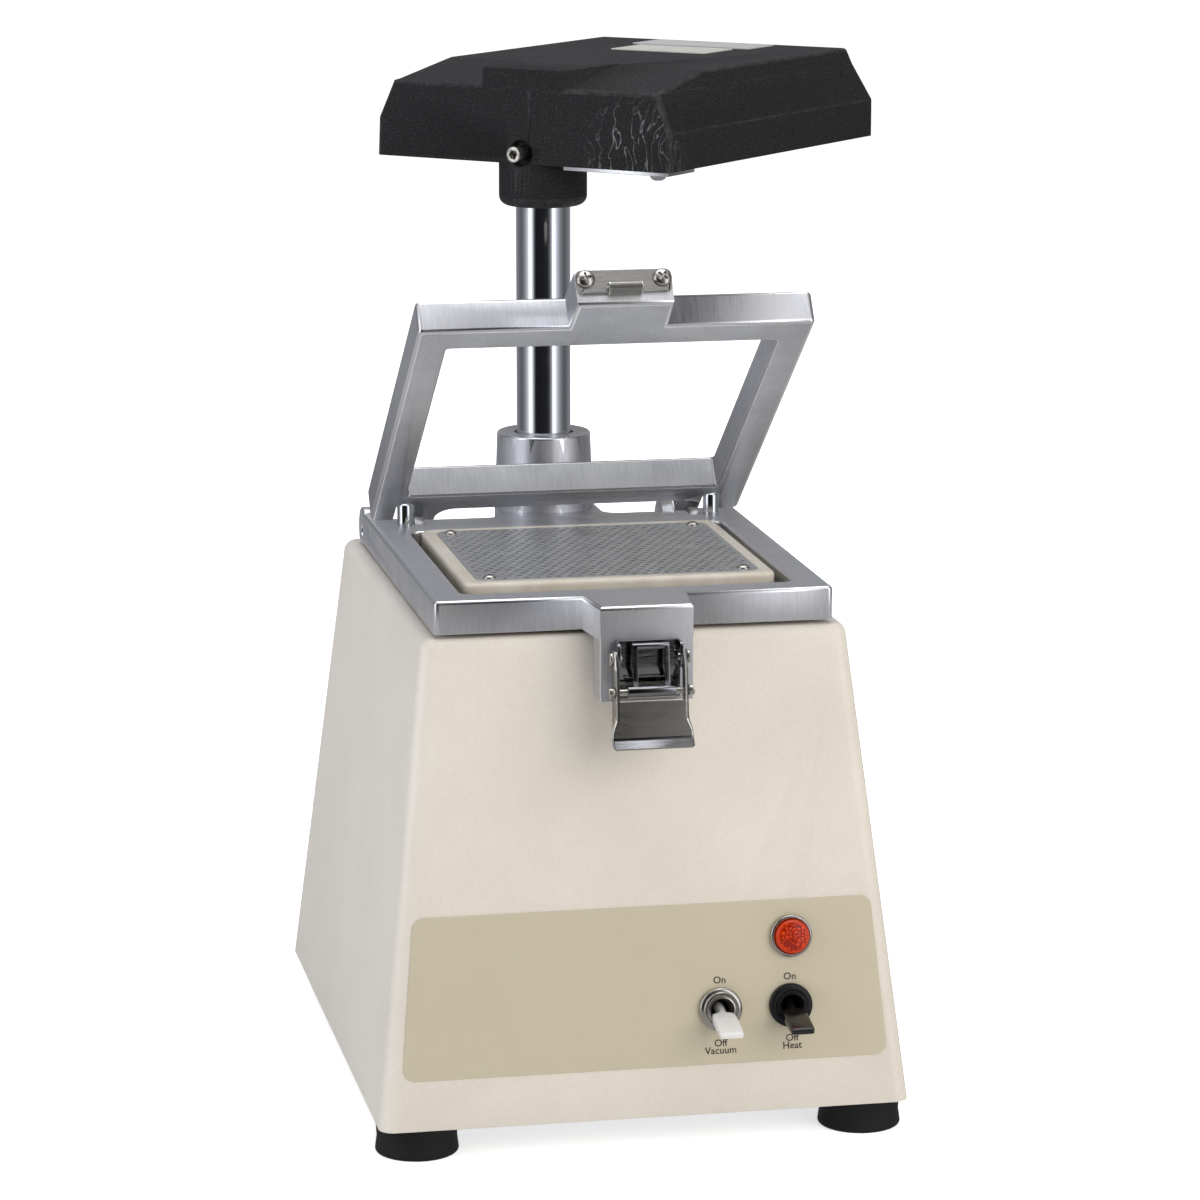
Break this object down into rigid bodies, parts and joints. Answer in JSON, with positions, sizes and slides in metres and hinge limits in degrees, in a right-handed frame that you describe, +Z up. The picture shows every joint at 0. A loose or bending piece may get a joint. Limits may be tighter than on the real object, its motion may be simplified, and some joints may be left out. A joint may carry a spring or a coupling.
{
  "type": "dental vacuum former",
  "caption": "Bench vacuum former: tapered cabinet, perforated platen, latching clamp frames sliding on a column, and a heater head that swings round it.",
  "frame": {"origin": "middle of the clamping opening, in the plane of the feet's undersides", "axes": "+Z up along the column, -Y to the front with the controls, +X to the operator's right"},
  "size_m": [0.258, 0.3944, 0.3889],
  "materials": {
    "cream_paint": "textured enamel",
    "black_wrinkle": "fine wrinkle enamel",
    "cast_aluminium": "milled and satin cast aluminium",
    "chrome": "bright chrome plate",
    "rubber": "moulded rubber",
    "zinc_steel": "zinc-plated steel",
    "nickel_steel": "bright nickel plate",
    "black_steel": "black oxide",
    "panel_film": "printed overlay film",
    "orange_lens": "faceted clear plastic",
    "black_plastic": "moulded plastic",
    "white_plastic": "moulded plastic",
    "nylon": "turned nylon",
    "bronze": "sintered bronze",
    "copper": "copper segments",
    "ceramic": "fired ceramic",
    "glass_wool": "felted mineral wool",
    "bright_aluminium": "bright sheet aluminium",
    "resistance_wire": "heat-stained alloy",
    "label_film": "blank printed film",
    "perforated_sheet": "drilled stainless sheet",
    "laminations": "stacked steel laminations"
  },
  "bodies": {
    "base": {"housing": "cream_paint", "base_plate": "zinc_steel", "feet": "rubber", "foot_screws": "zinc_steel", "control_overlay": "panel_film", "pilot_bezel": "chrome", "pilot_lens": "orange_lens", "pilot_body": "black_plastic", "switch_bodies": "nickel_steel", "vacuum_switch_nut": "nickel_steel", "heat_switch_nut": "black_steel", "column": "chrome", "column_foot": "cast_aluminium", "column_foot_screws": "zinc_steel", "seat_washer": "nylon", "heater_lead": "rubber", "platen": "cream_paint", "platen_gasket": "rubber", "platen_bolts": "zinc_steel", "perforated_plate": "perforated_sheet", "plate_screws": "nickel_steel", "cord_gland": "black_plastic", "blower_seal": "rubber", "fan_shell": "zinc_steel", "motor_bracket": "cast_aluminium", "hanger_studs": "zinc_steel", "stator": "laminations", "end_bracket": "cast_aluminium", "tie_bolts": "zinc_steel", "brush_holders": "black_plastic", "rotor_bearings": "bronze"},
    "vacuum_paddle": {"vacuum_toggle": "white_plastic"},
    "heat_paddle": {"heat_toggle": "black_plastic"},
    "rotor": {"rotor_shaft": "zinc_steel", "armature": "laminations", "commutator": "copper", "impeller": "bright_aluminium"},
    "carriage": {"lower_frame": "cast_aluminium", "hub_bushes": "bronze", "drag_plunger": "nickel_steel", "stop_pins": "chrome", "hinge_pins": "zinc_steel", "latch_base": "nickel_steel", "latch_rivets": "nickel_steel"},
    "clamp_frame": {"upper_frame": "cast_aluminium", "strike_plate": "nickel_steel", "strike_screws": "nickel_steel"},
    "latch_handle": {"latch_lever": "nickel_steel", "link_pin": "nickel_steel"},
    "latch_claw": {"latch_link": "nickel_steel"},
    "head": {"heater_head": "black_wrinkle", "clamp_screw": "nickel_steel", "head_cover": "bright_aluminium", "cover_screw": "zinc_steel", "reflector": "bright_aluminium", "heater_coil": "resistance_wire", "heater_tile": "ceramic", "insulation": "glass_wool", "heater_terminals": "zinc_steel", "head_labels": "label_film"}
  },
  "joints": [
    {"name": "carriage_slide", "type": "slide", "parent": "base", "child": "carriage", "axis": [0, 0, 1], "range_m": [0, 0.088]},
    {"name": "clamp_frame_hinge", "type": "hinge", "parent": "carriage", "child": "clamp_frame", "pos_m": [0, 0.084, 0.2032], "axis": [1, 0, 0], "range_deg": [0, 36.2]},
    {"name": "latch_handle_pivot", "type": "hinge", "parent": "carriage", "child": "latch_handle", "pos_m": [0, -0.1028, 0.1895], "axis": [-1, 0, 0], "range_deg": [0, 140]},
    {"name": "latch_claw_pivot", "type": "hinge", "parent": "latch_handle", "child": "latch_claw", "pos_m": [0, -0.10646, 0.17762], "axis": [-1, 0, 0], "range_deg": [-140, 0]},
    {"name": "heater_swivel", "type": "hinge", "parent": "base", "child": "head", "pos_m": [0, 0.1107, 0.3508], "axis": [0, 0, -1], "range_deg": [-42, 138]},
    {"name": "vacuum_switch", "type": "hinge", "parent": "base", "child": "vacuum_paddle", "pos_m": [0.0285, -0.0948, 0.05126], "axis": [-1, 0, 0], "range_deg": [0, 33]},
    {"name": "heat_switch", "type": "hinge", "parent": "base", "child": "heat_paddle", "pos_m": [0.0557, -0.0948, 0.05126], "axis": [-1, 0, 0], "range_deg": [0, 33]},
    {"name": "blower_spin", "type": "hinge", "parent": "base", "child": "rotor", "pos_m": [0, -0.005, 0.15], "axis": [0, 0, 1], "continuous": true}
  ],
  "couplings": [
    {"joint": "latch_claw_pivot", "follows": "latch_handle_pivot", "ratio": -1}
  ]
}
